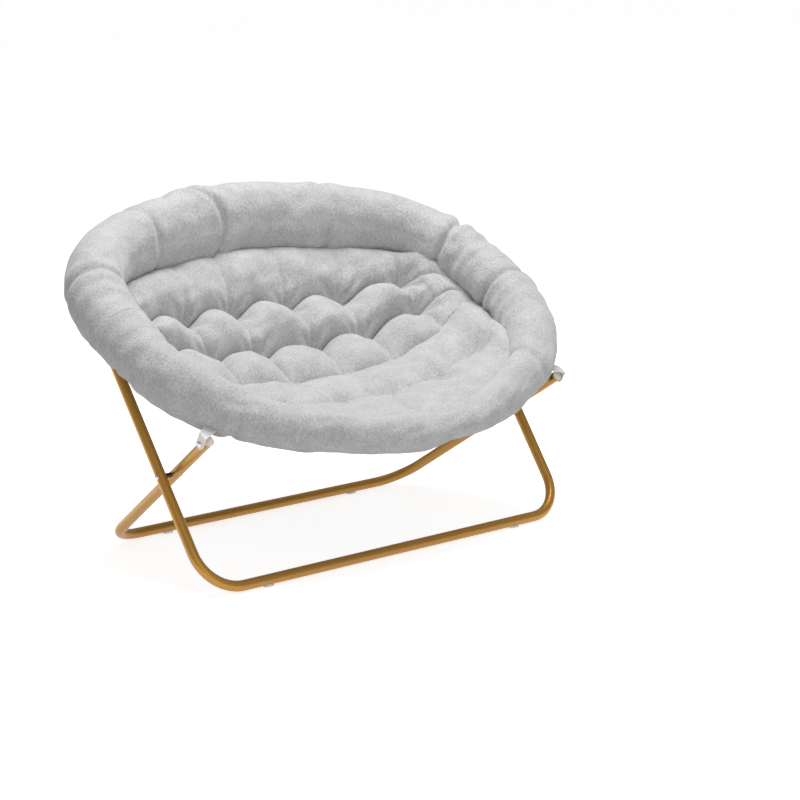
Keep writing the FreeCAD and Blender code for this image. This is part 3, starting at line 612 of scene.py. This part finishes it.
# %% Rim bolsters
BOLSTER_ALONG = 420
BOLSTER_AROUND = 72
BOLSTER_WELD = 0.0004
BACK_SEAMS = [(0.10, 0.0, SEAM_DEPTH), (0.34, 0.02, SHALLOW_SEAM), (0.575, 0.06, SEAM_DEPTH),
              (0.70, 0.01, SHALLOW_SEAM), (0.90, 0.0, SHALLOW_SEAM)]
LIP_SEAMS = [(0.03, 0.0, SEAM_DEPTH), (0.24, 0.012, SHALLOW_SEAM), (0.79, -0.012, SHALLOW_SEAM)]
BACK_RIM_SEED = 11
LIP_SEED = 23


def bolster(name, hoop, far_shape, turn_at_crown, seams, seed):
    """Padded tube round a half hoop, with its section turned by turn_at_crown at the crown."""
    piece, u, v = soft_grid(name, BOLSTER_ALONG, BOLSTER_AROUND)
    d = mix(-END_LAP, 2 * hoop.half_length + END_LAP, u)
    x, y, out_x, out_y = hoop.point(d)
    (out_c, up_c, half_w, half_h, under), w = rim_shape(hoop, far_shape, y)
    angle = 2 * math.pi * v - math.pi / 2
    turn = turn_at_crown * w
    swell = cover_swell(hoop, d, y, angle, seams, seed)
    a = (half_w + swell) * np.cos(angle)
    b = (half_h + swell) * np.sin(angle)
    reach = out_c + a * np.cos(turn) + b * np.sin(turn)
    up = up_c - a * np.sin(turn) + b * np.cos(turn)
    up = np.maximum(up, -under - UNDER_DROP + UNDER_ROUND * (up + under))
    set_points(piece, hoop.place(x + out_x * reach, y + out_y * reach, up))
    close_and_smooth(piece, BOLSTER_WELD)
    return piece


back_bolster = bolster("back_rim_bolster", BACK_HOOP, BACK_SHAPE, BACK_TILT, BACK_SEAMS, BACK_RIM_SEED)
front_bolster = bolster("front_rim_bolster", FRONT_HOOP, LIP_SHAPE, 0.0, LIP_SEAMS, LIP_SEED)

# %% [markdown]
# The bowl is a quilted cushion in two pads, sewn in bands across the chair. It could be blown
# up as cloth between its tufts, but a formula keeps each puff where the real one is. A band
# lies between two creases. In the middle of the chair their places are written here, as
# distance and height from the hinge, from the back's top crease to the front lip's. Towards the
# sides they are drawn up to the hoops, which makes the saucer. The pads meet at the fold crease.

# %% Bowl creases
CREASES = np.array([(0.312, 0.128), (0.220, -0.010), (0.120, -0.115),
                    (-0.012, -0.172), (-0.190, -0.180), (-0.392, -0.205)])
FOLD_CREASE = 3
BOWL_HALF_WIDTH = 0.540
BOWL_FLATNESS = 3
BACK_INSET = 0.096
FRONT_INSET = 0.060
BOWL_BACK = BACK_HOOP.inset(HOOP_HALF_WIDTH - BOWL_HALF_WIDTH, BACK_INSET)
BOWL_FRONT = FRONT_HOOP.inset(HOOP_HALF_WIDTH - BOWL_HALF_WIDTH, FRONT_INSET)


def reach_and_rise(length, tilt):
    """Level distance and height of a point at a length up a tilted hoop."""
    return length * math.cos(tilt), length * math.sin(tilt)


def crease_point(index, x):
    """Crease at x across, drawn up to the hoops' plane towards the sides."""
    back_y, back_z = reach_and_rise(BOWL_BACK.y_at(x), BACK_TILT)
    front_y, front_z = reach_and_rise(BOWL_FRONT.y_at(x), FRONT_TILT)
    far_y, far_z = reach_and_rise(BOWL_BACK.depth, BACK_TILT)
    near_y, near_z = reach_and_rise(BOWL_FRONT.depth, FRONT_TILT)
    y, z = CREASES[index]
    share = (y + near_y) / (far_y + near_y)
    depth = z - mix(-near_z, far_z, share)
    w = 1 - (np.abs(x) / BOWL_HALF_WIDTH) ** BOWL_FLATNESS
    across_y = mix(-front_y, back_y, share)
    if index == FOLD_CREASE:
        across_y = across_y * w
    height = mix(-front_z, back_z, share) + depth * w
    return np.stack([x, HINGE_Y + across_y, HINGE_Z + height], axis=-1)


print("creases", len(CREASES), "over a bowl", 2 * BOWL_HALF_WIDTH, "m wide")

# %% [markdown]
# Where tufts sit on a crease, the plush between them hangs over it, so the crease runs in
# scallops. At the fold the two pads lap a little, so no gap opens between them.

# %% Creases of one pad
TUFT_PITCH = 0.166
SCALLOP = {1: 0.015, 2: 0.013}
SCALLOP_FADE = 0.05
SIDE_BAND_START = 0.415
FOLD_LAP = 0.012
NO_LENGTH = 1e-6


def unit(ways):
    """Directions of length one."""
    return ways / np.maximum(np.linalg.norm(ways, axis=1), NO_LENGTH)[:, None]


def pad_creases(first, last, x):
    """Creases first to last at each x, in scallops, with the fold's crease moved past the fold."""
    bands = last - first
    creases = np.stack([crease_point(first + i, x) for i in range(bands + 1)])
    for i in range(1, bands):
        rise = SCALLOP.get(first + i, 0.0) * np.cos(2 * math.pi * x / TUFT_PITCH)
        rise = rise * np.clip((SIDE_BAND_START - np.abs(x)) / SCALLOP_FADE, 0, 1)
        creases[i] += unit(creases[i - 1] - creases[i]) * rise[:, None]
    at_fold, beside = (0, 1) if first == FOLD_CREASE else (bands, bands - 1)
    creases[at_fold] += unit(creases[at_fold] - creases[beside]) * FOLD_LAP
    return creases


print("tufts every", TUFT_PITCH, "m")

# %% [markdown]
# Puffs rise square to the cushion. A band's own direction would make a hard bend at each
# crease, so the direction is blended with its neighbours' towards the band's two edges.

# %% Upward directions of a pad
ACROSS = np.array([1.0, 0.0, 0.0])


def pad_normals(creases, band, t):
    """Base points and upward directions, at the share t of each band."""
    rows = np.arange(creases.shape[1])
    start, end = creases[band, rows], creases[band + 1, rows]
    base = start + (end - start) * t[:, None]
    along_band = unit(end - start)
    before = start - creases[np.maximum(band - 1, 0), rows]
    after = creases[np.minimum(band + 2, len(creases) - 1), rows] - end
    for way in (before, after):
        size = np.linalg.norm(way, axis=1)
        way[size < NO_LENGTH] = along_band[size < NO_LENGTH]
        way /= np.linalg.norm(way, axis=1)[:, None]
    first_half = mix(before + along_band, 2 * along_band, (2 * t)[:, None])
    second_half = mix(2 * along_band, after + along_band, (2 * t - 1)[:, None])
    bent = np.where(t[:, None] < 0.5, first_half, second_half)
    bent /= np.linalg.norm(bent, axis=1)[:, None]
    return base, np.cross(bent, ACROSS)


print("bands to blend over", len(CREASES) - 1)

# %% [markdown]
# A puff is a hump in two directions: from crease to crease, and from tuft to tuft. One small
# function gives every hump. Its two powers set how flat the top is and how steep the flanks
# are, because a stuffed form is flatter on top than a sine and drops faster at its seams.

# %% Humps
BAND_HUMP = (2.2, 0.6)
TUFT_HUMP = (2.1, 0.55)
SIDE_HUMP = (2.4, 0.6)


def hump(share, square, soft):
    """Hump from 0 over 1 to 0; square flattens its top and soft steepens its flanks."""
    return np.clip(1 - np.abs(2 * share - 1) ** square, 0, 1) ** soft


print("a band's hump by quarters", np.round(hump(np.linspace(0, 1, 5), *BAND_HUMP), 2))

# %% [markdown]
# Bands differ in how high they puff and how hard the tufts pinch them, so both are tables by
# band, from the back's top band to the lip's. Puffs change a little in height along the chair.
# Beyond the last tufts one long puff closes each side.

# %% Puffs
BAND_PUFF = {0: 0.042, 1: 0.060, 2: 0.058, 3: 0.034, 4: 0.026}
BAND_PINCH = {0: 0.32, 1: 0.66, 2: 0.68, 3: 0.34, 4: 0.25}
TOP_BAND_PINCH = 0.4
PUFF_CHANGE = 0.16
PUFF_CHANGE_LENGTH = 0.22
BOWL_END = 0.533
SIDE_PUFF = 0.040
SIDE_PUFF_BASE = 0.72
SIDE_PUFF_CHANGE = 0.28
SIDE_PUFF_ENDS = 5
TO_SIDE_PUFF = 4


def band_values(table, first, bands, band):
    """Value of each point's band in a table by band."""
    return np.array([table[first + i] for i in range(bands)])[band]


def puff_height(first, bands, walk, band, t, x, tuft_x, base, seed):
    """Height of the puffs, without tufts, and the hump from crease to crease."""
    puff = band_values(BAND_PUFF, first, bands, band)
    pinch = band_values(BAND_PINCH, first, bands, band)
    puff = puff * (1 + PUFF_CHANGE * waves(base, PUFF_CHANGE_LENGTH, seed + 9))
    between_tufts = hump((tuft_x / TUFT_PITCH + 0.5) % 1.0, *TUFT_HUMP)
    lengthwise = hump(t, *BAND_HUMP)
    if first == 0:
        pinch = pinch + TOP_BAND_PINCH * t ** 2 * (band == 0)
    height = puff * lengthwise * (1 - pinch * (1 - between_tufts))
    out_share = np.clip((np.abs(x) - SIDE_BAND_START) / (BOWL_END - SIDE_BAND_START), 0, 1)
    side_puff = SIDE_PUFF * hump(out_share, *SIDE_HUMP)
    side_puff = side_puff * (SIDE_PUFF_BASE + SIDE_PUFF_CHANGE * lengthwise)
    if first == 0:
        side_puff = side_puff * np.clip(SIDE_PUFF_ENDS * np.minimum(walk, bands - walk), 0, 1)
    return mix(height, side_puff, np.clip(out_share * TO_SIDE_PUFF, 0, 1)), lengthwise


print("puffs up to", max(BAND_PUFF.values()), "m high")

# %% [markdown]
# A tuft pulls the plush down in a soft dip, and short creases run out from it like a star. Only
# creases inside a pad have tufts: the rim and the fold have none. Hand-set tufts are never quite
# in line, so the pads shift them a little to and fro.

# %% Tufts
TUFT_WANDER = 0.015
TUFT_WANDER_LENGTH = 0.26
TUFT_SINK = 0.026
TUFT_WIDTH = 0.034
TUFTS_END = 0.45
STAR_CREASE = 0.0035
STAR_RAYS = 7
STAR_AWAY = 0.034
STAR_WIDTH = 0.020


def tufted(height, first, creases, x, tuft_x, base, fade, seed):
    """Height with a dip and a star of creases at each tuft."""
    nearest = np.round(tuft_x / TUFT_PITCH - 0.5) * TUFT_PITCH + TUFT_PITCH / 2
    sideways = tuft_x - nearest
    for i in range(len(creases)):
        if 0 < first + i < len(CREASES) - 1 and first + i != FOLD_CREASE:
            gap = np.linalg.norm(base - creases[i], axis=1)
            dip = np.exp(-(sideways ** 2 + gap ** 2) / TUFT_WIDTH ** 2) * (np.abs(x) < TUFTS_END)
            height = height - TUFT_SINK * dip * fade
            ray = np.sin(STAR_RAYS * np.arctan2(gap, sideways) + seed)
            from_ring = (np.hypot(sideways, gap) - STAR_AWAY) / STAR_WIDTH
            height = height + STAR_CREASE * ray * np.exp(-from_ring ** 2)
    return height


print("tufts sink", TUFT_SINK, "m")

# %% [markdown]
# A pad is closed: its top carries the puffs, and its underside is plain, follows the same bands
# and sags a little between them. One grid makes both. Most of its rows walk over the top from
# the first crease to the last, and the rest walk back below. The pad thins out at the rim.

# %% Tufted pads
PAD_ALONG = 330
PAD_AROUND = 150
PAD_WELD = 0.0002
TOP_SHARE = 0.7
PAD_THICKNESS = 0.042
PAD_EDGE = 0.014
THIN_EDGE = 0.35
THIN_EDGE_BANDS = 4
UNDER_SWELL = 0.012
SIDE_FADE = 0.3
SLOW_WAVE = 0.0040
SLOW_WAVE_LENGTH = 0.12
QUICK_WAVE = 0.0022
QUICK_WAVE_LENGTH = 0.05
BACK_PAD_SEED = 31
SEAT_PAD_SEED = 47


def pad_underside(first, bands, walk, t, side):
    """Depth of the underside below the creases."""
    from_rim = walk if first == 0 else bands - walk
    thin = np.clip(THIN_EDGE_BANDS * from_rim + THIN_EDGE, THIN_EDGE, 1)
    lower = -mix(PAD_EDGE, PAD_THICKNESS, side) * thin
    return lower - UNDER_SWELL * side * (1 - (2 * t - 1) ** 2)


def tufted_bowl(name, first, last, seed):
    """Quilted pad over the bands from crease first to crease last."""
    piece, u, v = soft_grid(name, PAD_ALONG, PAD_AROUND)
    x = mix(-BOWL_END, BOWL_END, u)
    bands = last - first
    on_top = v <= TOP_SHARE
    walk = np.where(on_top, v / TOP_SHARE, (1 - v) / (1 - TOP_SHARE)) * bands
    band = np.minimum(np.floor(walk).astype(int), bands - 1)
    t = walk - band
    creases = pad_creases(first, last, x)
    base, normal = pad_normals(creases, band, t)
    side = np.clip(1 - (np.abs(x) / BOWL_HALF_WIDTH) ** BOWL_FLATNESS, 0, 1)
    fade = np.minimum(1.0, side / SIDE_FADE)
    tuft_x = x + TUFT_WANDER * waves(base, TUFT_WANDER_LENGTH, seed + 5)
    height, lengthwise = puff_height(first, bands, walk, band, t, x, tuft_x, base, seed)
    height = tufted(height, first, creases, x, tuft_x, base, fade, seed) * fade
    ripple = SLOW_WAVE * waves(base, SLOW_WAVE_LENGTH, seed)
    ripple += QUICK_WAVE * waves(base, QUICK_WAVE_LENGTH, seed + 1)
    height += fade * ripple * lengthwise
    lower = pad_underside(first, bands, walk, t, side)
    set_points(piece, base + normal * np.where(on_top, height, lower)[:, None])
    close_and_smooth(piece, PAD_WELD)
    return piece


back_bowl = tufted_bowl("back_bowl_quilt", 0, FOLD_CREASE, BACK_PAD_SEED)
seat_bowl = tufted_bowl("seat_bowl_quilt", FOLD_CREASE, len(CREASES) - 1, SEAT_PAD_SEED)

# %% [markdown]
# When the ring folds, the quilted pads are pressed flat towards their hoops, as filling is.


def dress(piece, body, node):
    """Plush on a soft piece, and its place in the frame."""
    piece.data.materials.clear()
    piece.data.materials.append(PLUSH)
    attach(piece, body)
    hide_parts(node)


dress(back_bolster, "back_hoop", "back_rim_roll")
dress(front_bolster, "front_hoop", "front_rim_roll")
dress(back_bowl, "back_hoop", "back_pad")
dress(seat_bowl, "front_hoop", "seat_pad")
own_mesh(back_bowl)
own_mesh(seat_bowl)
print("soft pieces", [piece.name for piece in (back_bolster, front_bolster, back_bowl, seat_bowl)])
